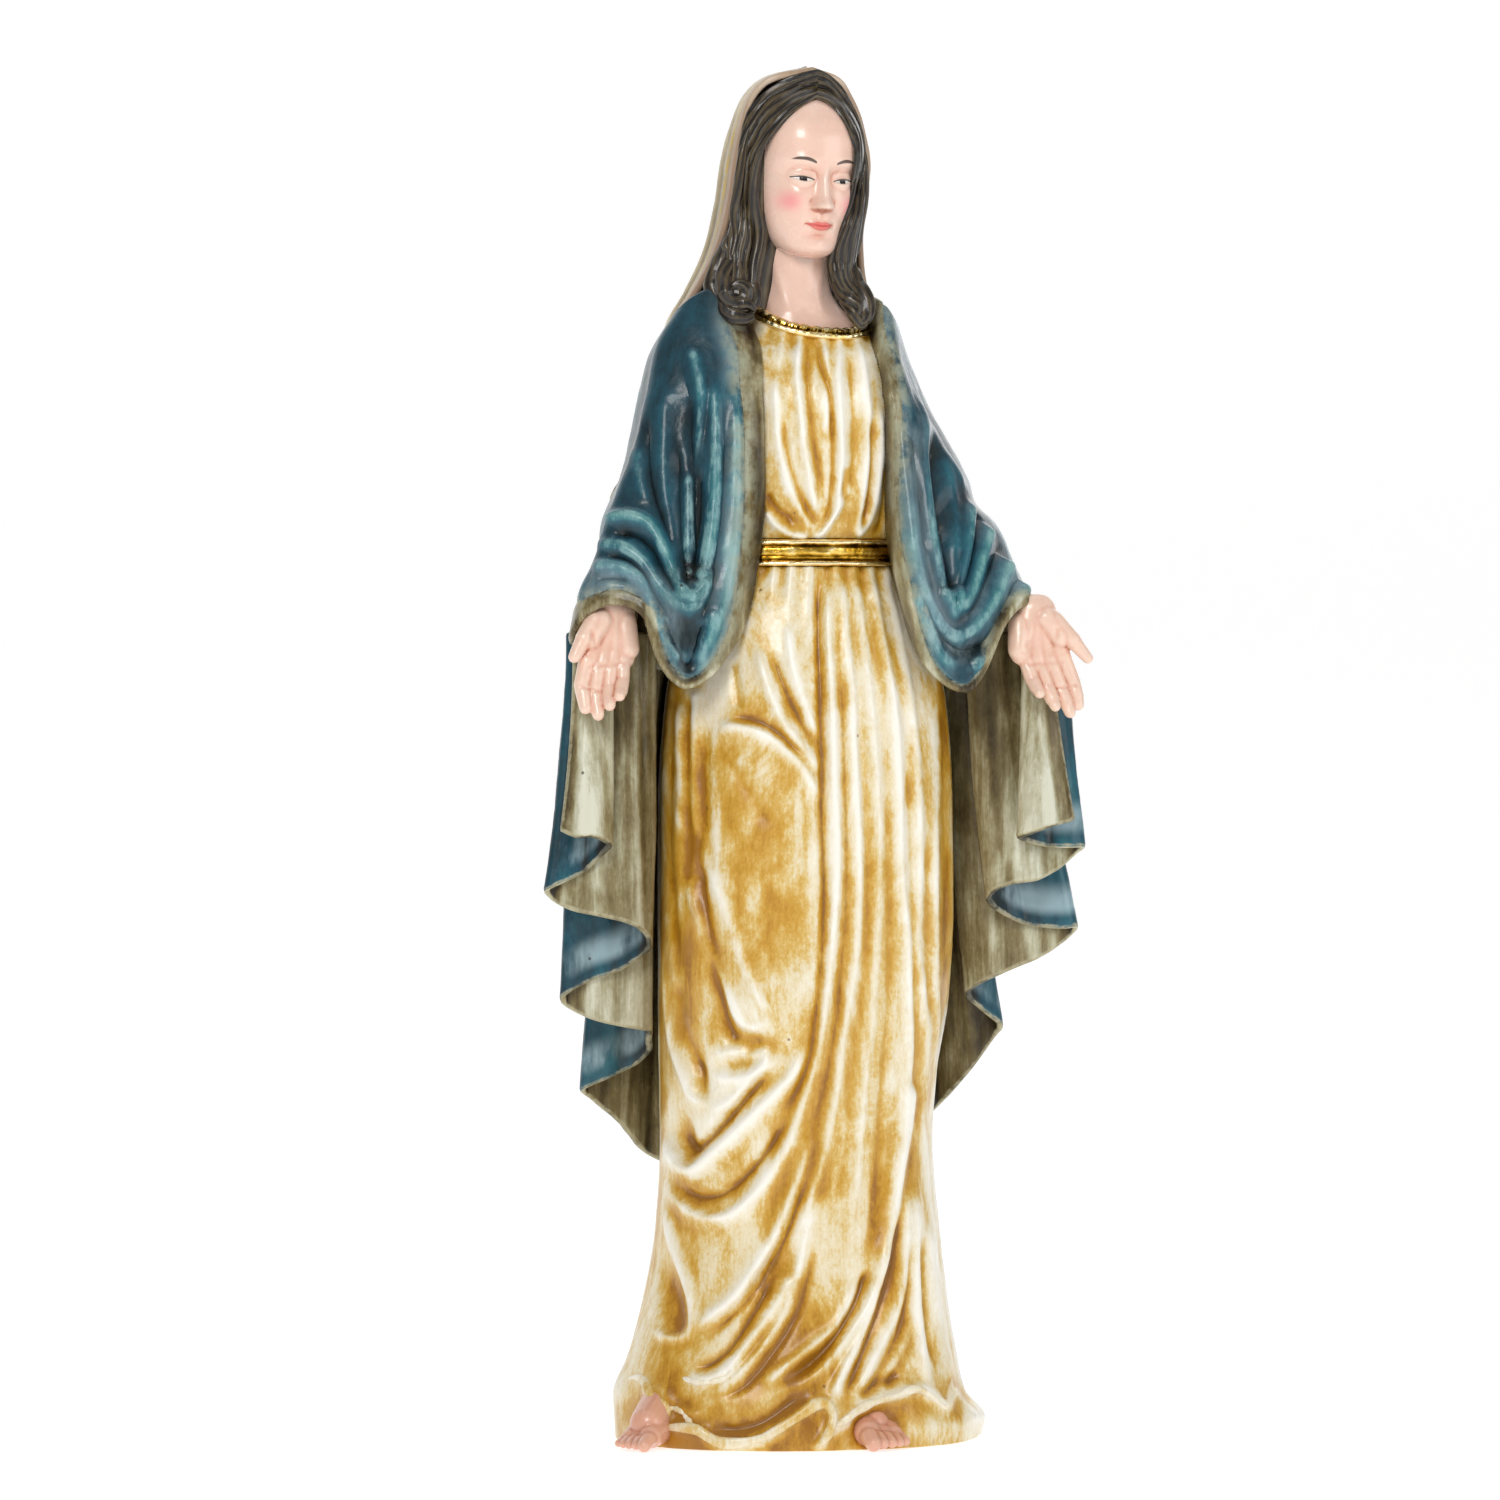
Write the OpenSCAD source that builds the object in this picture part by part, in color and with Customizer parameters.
// Standing madonna figure with open hands: hollow cast gown, mantle with two
// cascading falls, sleeves, veil, head, hair, trims, dowelled hands, feet and a
// base plug.  +Z up, the figure faces -Y, the origin is the centre of the
// underside.

/* [Figure] */
// Height of the whole figure
figure_h = 300; // [240:1:400]
// Wall thickness of the hollow gown casting
wall = 5; // [4:0.5:7]
// Gap left between castings that are bonded together
bond_gap = 0.3; // [0.2:0.05:0.5]

/* [Base] */
// Thickness of the plug that closes the hollow
plug_t = 4; // [3:0.5:6]
// Radius of the vent hole in the plug
vent_r = 4; // [2:0.5:6]
// Half width of the plug
plug_a = 24; // [18:0.5:26]
// Half depth of the plug
plug_b = 18; // [12:0.5:20]

/* [Mantle] */
// Thickness of the mantle sheet
mantle_t = 2.4; // [1.6:0.2:3]
// Height of the mantle's hem at the back
back_hem_z = 46; // [34:1:60]

/* [Trims] */
// Height of the belt band
belt_h = 6.4; // [4:0.2:8]
// Thickness of the belt band
belt_t = 1.8; // [1:0.2:2.6]

/* [Joints] */
// Radius of the wrist dowels
wrist_pin_r = 1.25; // [0.8:0.05:1.6]
// Length of the wrist dowels
wrist_pin_l = 16; // [10:1:20]
// Radius of the neck dowel
neck_pin_r = 2.5; // [1.5:0.1:3]

/* [Hidden] */

k = figure_h / 300;          // everything below is drawn at a height of 300
na = 48;                     // points round a lofted ring

c_gown = [0.87, 0.70, 0.38];
c_blue = [0.16, 0.36, 0.45];
c_veil = [0.62, 0.54, 0.38];
c_skin = [0.93, 0.72, 0.62];
c_hair = [0.17, 0.14, 0.11];
c_gold = [0.78, 0.60, 0.20];
c_raw  = [0.90, 0.88, 0.82];

// Extents of the gown: height, left, right, front, back
gown_tab = [
  [0, 40, 40.5, 31, 30], [3, 41, 39.5, 31.5, 31], [10, 40, 36, 31, 31],
  [17, 38.5, 33.5, 29, 30], [28, 35.5, 32, 27, 28.5], [47, 32, 31.5, 26, 27],
  [65, 31, 30.5, 25.5, 26], [80, 31, 30.5, 25.5, 25.5], [97, 31, 31, 25.5, 25],
  [119, 31, 31.5, 25.5, 25], [140, 31, 31, 25, 24.5], [162, 29.5, 29.5, 23.5, 22.5],
  [178, 26, 26, 20.5, 19.5], [188, 22.5, 22.5, 17.5, 16.5], [194, 21, 21, 16, 15],
  [200, 21.5, 21.5, 16.5, 15], [214, 23.5, 23.5, 18.5, 16], [226, 25.5, 25.5, 18, 16.5],
  [236, 24, 24, 15, 15], [241, 17, 17, 11.5, 12], [244, 13.5, 13.5, 9, 10]];

function col(tab, i) = [for (r = tab) [r[0], r[i]]];
function sgn(v) = v < 0 ? -1 : 1;
function pw(c, e) = sgn(c) * pow(abs(c), e);
function mix(a, b, t) = a + (b - a) * t;

// Depth of the pressed folds at a height, by angle: deeper towards the hem
function fold(a, z) =
  z > 188 ? 0.35 * cos(13 * a) :
  mix(1.6, 0.5, z / 188) * cos(11 * a + 25 * sin(z * 1.3)) + mix(0.9, 0.3, z / 188) * cos(6 * a + 40);

// A ring of the gown at height z, grown by g
function gown_ring(z, g = 0, folds = 1, n = na) =
  [for (i = [0:n - 1]) let (
     a = i * 360 / n, c = cos(a), s = sin(a),
     rx = lookup(z, col(gown_tab, c < 0 ? 1 : 2)), ry = lookup(z, col(gown_tab, s < 0 ? 3 : 4)),
     f = folds * fold(a, z) + g)
   [(rx + f) * pw(c, 0.92), (ry + f) * pw(s, 0.92), z]];

// A closed solid through a list of rings with the same number of points
module loft(rings) {
  n = len(rings[0]); m = len(rings);
  polyhedron(
    points = [for (r = rings) for (p = r) p],
    faces = concat(
      [[for (i = [0:n - 1]) i]],
      [for (j = [0:m - 2]) for (i = [0:n - 1]) let (
         p = j * n + i, q = j * n + (i + 1) % n)
       [p, p + n, q + n]],
      [for (j = [0:m - 2]) for (i = [0:n - 1]) let (
         p = j * n + i, q = j * n + (i + 1) % n)
       [p, q + n, q]],
      [[for (i = [n - 1:-1:0]) (m - 1) * n + i]]));
}

function ellipse_ring(a, b, z, cx = 0, cy = 0, n = na) =
  [for (i = [0:n - 1]) let (t = i * 360 / n) [cx + a * cos(t), cy + b * sin(t), z]];

// ---------------------------------------------------------------- gown
gown_z = [0, 3, 10, 17, 28, 40, 52, 65, 80, 97, 115, 135, 155, 170, 182, 190, 194,
          200, 208, 218, 228, 236, 241, 244];
cavity_z = [7, 20, 45, 80, 115, 150, 172];

// The outer skin goes up, over the shoulders, down the neck socket, and the
// cavity goes up from the plug's seat: one closed skin each, one inside the other
module gown_outer(g = 0) loft([for (z = gown_z) gown_ring(z, g)]);

module gown_shell() {
  no = len(gown_z);
  outer = [for (z = gown_z) gown_ring(z)];
  inner = concat(
    [ellipse_ring(plug_a, plug_b, 0), ellipse_ring(plug_a, plug_b, plug_t + 1)],
    [for (z = cavity_z) gown_ring(z, -wall - 2, 0)]);
  ni = len(inner);
  pts = [for (r = concat(outer, inner)) for (p = r) p];
  polyhedron(points = pts, faces = concat(
    [for (j = [0:no - 2]) for (i = [0:na - 1]) let (p = j * na + i, q = j * na + (i + 1) % na) [p, p + na, q + na]],
    [for (j = [0:no - 2]) for (i = [0:na - 1]) let (p = j * na + i, q = j * na + (i + 1) % na) [p, q + na, q]],
    [[for (i = [na - 1:-1:0]) (no - 1) * na + i]],
    [for (j = [no:no + ni - 2]) for (i = [0:na - 1]) let (p = j * na + i, q = j * na + (i + 1) % na) [p, q + na, p + na]],
    [for (j = [no:no + ni - 2]) for (i = [0:na - 1]) let (p = j * na + i, q = j * na + (i + 1) % na) [p, q, q + na]],
    [[for (i = [0:na - 1]) (no + ni - 1) * na + i]],
    [for (i = [0:na - 1]) let (j = (i + 1) % na) [i, j, no * na + j]],
    [for (i = [0:na - 1]) let (j = (i + 1) % na) [i, no * na + j, no * na + i]]));
}

module gown() color(c_gown) scale(k) difference() {
  gown_shell();
  translate([-2, 0, 232]) cylinder(r = neck_pin_r + 0.05, h = 20, $fn = 32);
}

module base_plug() color(c_raw) scale(k) difference() {
  linear_extrude(plug_t)
    polygon([for (i = [0:na - 1]) let (t = i * 360 / na)
             [(plug_a - 0.25) * cos(t), (plug_b - 0.25) * sin(t)]]);
  translate([0, 0, -1]) cylinder(r = vent_r, h = plug_t + 2, $fn = 48);
}

// ---------------------------------------------------------------- mantle
// Plan of the sheet from the right arm's free edge, round the back, to the left
// arm's free edge: x, y, top height, hem height
mantle_path = [
  [-56, -15, 172, 134], [-45, -14, 174, 131], [-57.5, -8, 176, 122], [-35.5, -3, 172, 110.5],
  [-52.5, 3.5, 186, 98], [-32, 13, 188, 88.5], [-46, 17, 200, 78], [-33.5, 24, 214, 65],
  [-26, 29, 226, 57], [-16, 31, 236, 50], [-6, 34, 243, back_hem_z + 1], [4, 33, 243, back_hem_z],
  [14, 32, 238, 50], [24, 29, 228, 57], [34, 25, 214, 66], [46.5, 18, 200, 80],
  [38, 11, 188, 98], [61, 4, 186, 112], [41.5, -2, 172, 119], [61, -8, 176, 130],
  [48, -14, 174, 132], [58, -15, 172, 137]];

np = len(mantle_path);
// Points along the sheet and the direction across it
function mp(i) = mantle_path[min(max(i, 0), np - 1)];
function across(i) = let (d = [mp(i + 1)[0] - mp(i - 1)[0], mp(i + 1)[1] - mp(i - 1)[1]], l = norm(d)) [-d[1] / l, d[0] / l];
// The sheet draws in towards the shoulders as it rises
function drawn(p, z) = let (t = max(0, (z - 178) / 66)) [p[0] * (1 - 0.42 * t), p[1] * (1 - 0.42 * t * t)];
mantle_rows = 12;
function mantle_pt(i, j, side) = let (
    p = mp(i), z = mix(p[2], p[3], j / mantle_rows), q = drawn(p, z), n = across(i))
  [q[0] + side * n[0] * mantle_t / 2, q[1] + side * n[1] * mantle_t / 2, z];

module mantle_sheet() {
  // inner and outer skin, closed along the four edges
  pts = concat([for (j = [0:mantle_rows]) for (i = [0:np - 1]) mantle_pt(i, j, 1)],
               [for (j = [0:mantle_rows]) for (i = [0:np - 1]) mantle_pt(i, j, -1)]);
  o = np * (mantle_rows + 1);
  quads = concat(
    [for (j = [0:mantle_rows - 1]) for (i = [0:np - 2]) let (p = j * np + i) [p, p + np, p + np + 1, p + 1]],
    [for (j = [0:mantle_rows - 1]) for (i = [0:np - 2]) let (p = o + j * np + i) [p, p + 1, p + np + 1, p + np]],
    [for (i = [0:np - 2]) [i, i + 1, o + i + 1, o + i]],
    [for (i = [0:np - 2]) let (p = mantle_rows * np + i) [p, o + p, o + p + 1, p + 1]],
    [for (j = [0:mantle_rows - 1]) let (p = j * np) [p, o + p, o + p + np, p + np]],
    [for (j = [0:mantle_rows - 1]) let (p = j * np + np - 1) [p, p + np, o + p + np, o + p]]);
  polyhedron(points = pts, faces = concat([for (q = quads) [q[0], q[1], q[2]]], [for (q = quads) [q[0], q[2], q[3]]]));
}

module mantle() color(c_blue) scale(k) mantle_sheet();

// ---------------------------------------------------------------- sleeves
// The mantle over one arm, from shoulder to cuff: x, y, z, and half sizes
arm_tab = [
  [20, 2, 237, 8.5, 13, 8], [23.5, 2, 228, 10.5, 17, 9], [26.5, 0, 217, 12, 19, 9], [28.5, -2, 206, 14, 19.5, 9],
  [30.5, -5, 195, 16, 19, 9], [33, -7, 186, 17.5, 18, 9], [35, -9, 180, 17.5, 15.5, 8],
  [46, -11, 184, 8, 11, 7], [50.5, -13, 180, 6, 8, 5]];
lobe_tab = [[23, -14, 192, 11, 9, 9], [24, -16, 180, 10.5, 8.5, 8], [25.5, -17, 172, 7.5, 7, 5]];

module knob(p, s) translate([s * p[0], p[1], p[2]]) scale([p[3], p[4], p[5]]) sphere(1, $fn = 20);
module chain(tab, s) for (i = [0:len(tab) - 2]) hull() { knob(tab[i], s); knob(tab[i + 1], s); }

module sleeve(s) difference() {
  union() { chain(arm_tab, s); chain(lobe_tab, s); }
  gown_outer(bond_gap);
  mantle_clear();
  hand_solid(s, 0.25);
  wrist_pin(s, 0.05);
  belt_solid(bond_gap);
  // the underside is open behind the lobe, as the lining hangs there
  translate([-80, 15.5, 150]) cube([160, 30, 52]);
}
// Room for the sheet that hangs behind the arms
module mantle_clear() {
  for (i = [0:np - 2]) hull() for (j = [0, 3, 6]) for (e = [0, 1]) for (s = [-1, 1])
    translate(mantle_pt(i + e, j, s * 1.35)) cube(0.1, center = true);
}
module sleeve_right() color(c_blue) scale(k) sleeve(-1);
module sleeve_left() color(c_blue) scale(k) sleeve(1);

// ---------------------------------------------------------------- head
head_c = [-1, -3, 277];      // centre of the skull
head_tilt = [8, 3, 12];      // nod, lean and turn of the head

module head_solid(g = 0) {
  translate(head_c) rotate(head_tilt) {
    hull() { translate([0, 1.5, 4]) scale([12.2 + g, 14 + g, 14.5 + g]) sphere(1, $fn = 28);
             translate([0, -3.6, -6]) scale([9.6 + g, 9.6 + g, 8 + g]) sphere(1, $fn = 24); }
    hull() { translate([0, -4.4, -12.6]) scale([6 + g, 7.4 + g, 4.4 + g]) sphere(1, $fn = 20);
             translate([0, -3.6, -6]) scale([9.6 + g, 9.6 + g, 8 + g]) sphere(1, $fn = 24); }
    hull() { translate([0, -12.2, 1]) sphere(1.1, $fn = 10); translate([0, -14, -5]) sphere(1.3, $fn = 10);
             translate([0, -11, -5]) sphere(2.2, $fn = 10); }
  }
  loft([ellipse_ring(12.4, 8.2, 244.3, 0, 0, 28), ellipse_ring(11.4 + g, 8 + g, 246, -0.5, 0, 28),
        ellipse_ring(8.8 + g, 7.6 + g, 249, -1.5, -0.3, 28), ellipse_ring(7.7 + g, 7.2 + g, 253, -2, -0.6, 28),
        ellipse_ring(7.6 + g, 7 + g, 259, -1.8, -1, 28), ellipse_ring(7.8 + g, 7.6 + g, 268, -1.2, -1.5, 28)]);
}
module head() color(c_skin) scale(k) difference() {
  head_solid();
  translate([-2, 0, 236]) cylinder(r = neck_pin_r + 0.05, h = 22, $fn = 24);
  // many small steps of the jaw keep one evaluated mesh
  for (i = [0:7]) hull() { translate([60 + i, 0, 0]) cube(0.5); translate([60 + i, 1, 0]) cube(0.5); }
}
module neck_dowel() color(c_raw) scale(k) translate([-2, 0, 233]) cylinder(r = neck_pin_r, h = 24, $fn = 32);

// Locks of hair down each side, and the crown over the skull
lock_tab = [[8.5, -3, 287, 4, 7, 4], [11.6, -3.5, 279, 3, 6.4, 4], [12.6, -3, 268, 3, 5.6, 4], [12.4, -3.5, 257, 3.2, 5, 4],
            [13.4, -6, 249.5, 3.6, 4.4, 4], [15, -8.5, 246.4, 3.4, 3.8, 2.4]];
module hair_solid(g = 0) {
  difference() {
    translate(head_c) rotate(head_tilt) translate([0, 2.2, 4.5]) scale([14 + g, 15.2 + g, 16 + g]) sphere(1, $fn = 28);
    // the face is left open
    translate(head_c) rotate(head_tilt) hull() {
      translate([0, -16, 9]) sphere(4, $fn = 16);
      translate([-7.5, -16, -2]) sphere(4, $fn = 16); translate([7.5, -16, -2]) sphere(4, $fn = 16);
      translate([-8, -16, -20]) sphere(5, $fn = 16); translate([8, -16, -20]) sphere(5, $fn = 16); }
    translate([-30, -30, 225]) cube([60, 60, 32]);
  }
  translate([-1, 0, 0]) { chain(lock_tab, -1); chain(lock_tab, 1); }
}
module hair() color(c_hair) scale(k) difference() {
  hair_solid();
  head_solid(0.2);
  gown_outer(bond_gap);
  neckline_solid(bond_gap);
}

// ---------------------------------------------------------------- veil
veil_tab = [[-1, 4, 283, 17.5, 15.5, 16.5], [-1.5, 9, 268, 18.5, 12, 12], [-2, 13, 254, 21, 11, 10],
            [-2, 17, 243, 26, 11, 8], [-1, 21, 228, 24, 9.5, 8], [0, 24, 212, 20, 8, 8]];
module veil_bulk(g = 0) for (i = [0:len(veil_tab) - 2]) hull() for (e = [0, 1]) let (p = veil_tab[i + e])
  translate([p[0], p[1], p[2]]) scale([p[3] + g, p[4] + g, p[5] + g]) sphere(1, $fn = 28);
module veil() color(c_veil) scale(k) difference() {
  veil_bulk();
  hair_solid(0.3);
  head_solid(0.3);
  gown_outer(2.2);
  chain([for (r = arm_tab) [r[0], r[1], r[2], r[3] + 0.3, r[4] + 0.3, r[5] + 0.3]], -1);
  chain([for (r = arm_tab) [r[0], r[1], r[2], r[3] + 0.3, r[4] + 0.3, r[5] + 0.3]], 1);
  mantle_clear();
  // the front is open for the face and locks
  translate([-1, -30, 230]) rotate([0, 0, 0]) hull() {
    translate([-15.5, 0, 0]) cube([31, 26, 50]);
    translate([-9, 0, 0]) cube([18, 24, 66.5]); }
  translate([-60, -20, 200]) cube([120, 34, 42]);
  translate([-40, -20, 190]) cube([80, 42, 40]);
}

// ---------------------------------------------------------------- trims
// A band that follows the gown between two heights
module band(z0, z1, t, g = bond_gap) {
  zs = [z0, mix(z0, z1, 0.25), mix(z0, z1, 0.75), z1];
  out = [t * 0.6, t, t, t * 0.6];
  rings = concat([for (j = [0:3]) gown_ring(zs[j], g + out[j])],
                 [for (j = [3:-1:0]) gown_ring(zs[j], g)]);
  m = len(rings);
  pts = [for (r = rings) for (p = r) p];
  polyhedron(points = pts, faces = concat(
    [for (j = [0:m - 1]) for (i = [0:na - 1]) let (a = j * na, b = ((j + 1) % m) * na, q = (i + 1) % na) [a + i, b + i, b + q]],
    [for (j = [0:m - 1]) for (i = [0:na - 1]) let (a = j * na, b = ((j + 1) % m) * na, q = (i + 1) % na) [a + i, b + q, a + q]]));
}
module belt_solid(g = 0) loft([gown_ring(190.6 - g, belt_t + g), gown_ring(190.6 + belt_h + g, belt_t + g)]);
module belt() color(c_gold) scale(k) band(190.6, 190.6 + belt_h, belt_t, 0.15);

module neckline_solid(g = 0) loft([gown_ring(240.2 - g, 1.8 + g), gown_ring(243.8 + g, 1.8 + g)]);
module neckline_trim() color(c_gold) scale(k) band(240.2, 243.8, 1.4, 0.15);

// ---------------------------------------------------------------- hands
// Wrist, palm and fingers of one open hand, palm forward
wrist_p = [48, -15, 178];
module wrist_pin(s, g = 0) translate([s * wrist_p[0], wrist_p[1], wrist_p[2]])
  rotate([0, s * -28, 0]) translate([0, 0, -wrist_pin_l * 0.45]) cylinder(r = wrist_pin_r + g, h = wrist_pin_l, $fn = 24);

module pill(a, b, ra, rb) hull() { translate(a) sphere(ra, $fn = 12); translate(b) sphere(rb, $fn = 12); }
module finger(a, b, c, r) { pill(a, b, r, r * 0.95); pill(b, c, r * 0.95, r * 0.8); }
module hand_solid(s, g = 0) mirror([s < 0 ? 1 : 0, 0, 0])
  translate([47.5, -17.5, 0]) {
    hull() { translate([-1, 0.5, 181]) scale([3.8 + g, 3 + g, 3 + g]) sphere(1, $fn = 16);
             translate([1.2, -0.8, 173]) scale([6.2 + g, 2.8 + g, 5 + g]) sphere(1, $fn = 16);
             translate([4.2, -0.6, 167]) scale([5.6 + g, 2.4 + g, 3 + g]) sphere(1, $fn = 16); }
    finger([0.2, -0.6, 166], [1.2, -0.9, 163], [2.5, -2.2, 160.6], 1.5 + g);
    finger([3.2, -0.6, 165.5], [4.8, -1, 161.6], [6.2, -2, 158.6], 1.6 + g);
    finger([6, -0.5, 165.5], [7.8, -0.9, 161.4], [9.2, -1.6, 158.2], 1.6 + g);
    finger([8.6, -0.4, 166.6], [10.2, -0.7, 162.6], [11, -1.4, 159], 1.5 + g);
    finger([4.4, -1, 175.5], [9, -1.8, 173], [13, -2.2, 169.6], 1.9 + g);
  }
module hand(s) difference() { hand_solid(s); wrist_pin(s, 0.05); }
module hand_right() color(c_skin) scale(k) hand(-1);
module hand_left() color(c_skin) scale(k) hand(1);
module wrist_dowel_right() color(c_raw) scale(k) wrist_pin(-1);
module wrist_dowel_left() color(c_raw) scale(k) wrist_pin(1);

// ---------------------------------------------------------------- feet
module foot_solid() {
  hull() { translate([0, 0, 5]) scale([5, 6, 4.6]) sphere(1, $fn = 18);
           translate([0, -6, 3.4]) scale([5.6, 4, 3]) sphere(1, $fn = 18); }
  for (i = [0:4]) let (x = -4.4 + 2.1 * i, r = i == 4 ? 1.9 : 1.35)
    hull() { translate([x, -7, 3]) sphere(r, $fn = 10); translate([x * 1.08, -10.6 - (i == 4 ? 0.6 : 0) - 0.25 * i, 1.9]) sphere(r, $fn = 10); }
  hull() { translate([0, 3, 6]) scale([4.4, 5, 5]) sphere(1, $fn = 14); translate([0, -1, 5]) scale([4.6, 5, 4]) sphere(1, $fn = 14); }
  hull() { translate([-3, -6, 2.2]) sphere(2, $fn = 10); translate([3, -6, 2.2]) sphere(2, $fn = 10); }
}
module foot(p, turn, flip) difference() {
  translate(p) rotate([0, 0, turn]) mirror([flip, 0, 0]) foot_solid();
  gown_outer(0.2);
  translate([-60, -60, -10]) cube([120, 120, 10]);
}
module foot_right() color(c_skin) scale(k) foot([-32, -21.5, 0], -38, 0);
module foot_left() color(c_skin) scale(k) foot([10.5, -26.5, 0], 8, 1);

gown();
base_plug();
mantle();
sleeve_right();
sleeve_left();
veil();
head();
hair();
neckline_trim();
belt();
hand_right();
hand_left();
wrist_dowel_right();
wrist_dowel_left();
neck_dowel();
foot_right();
foot_left();
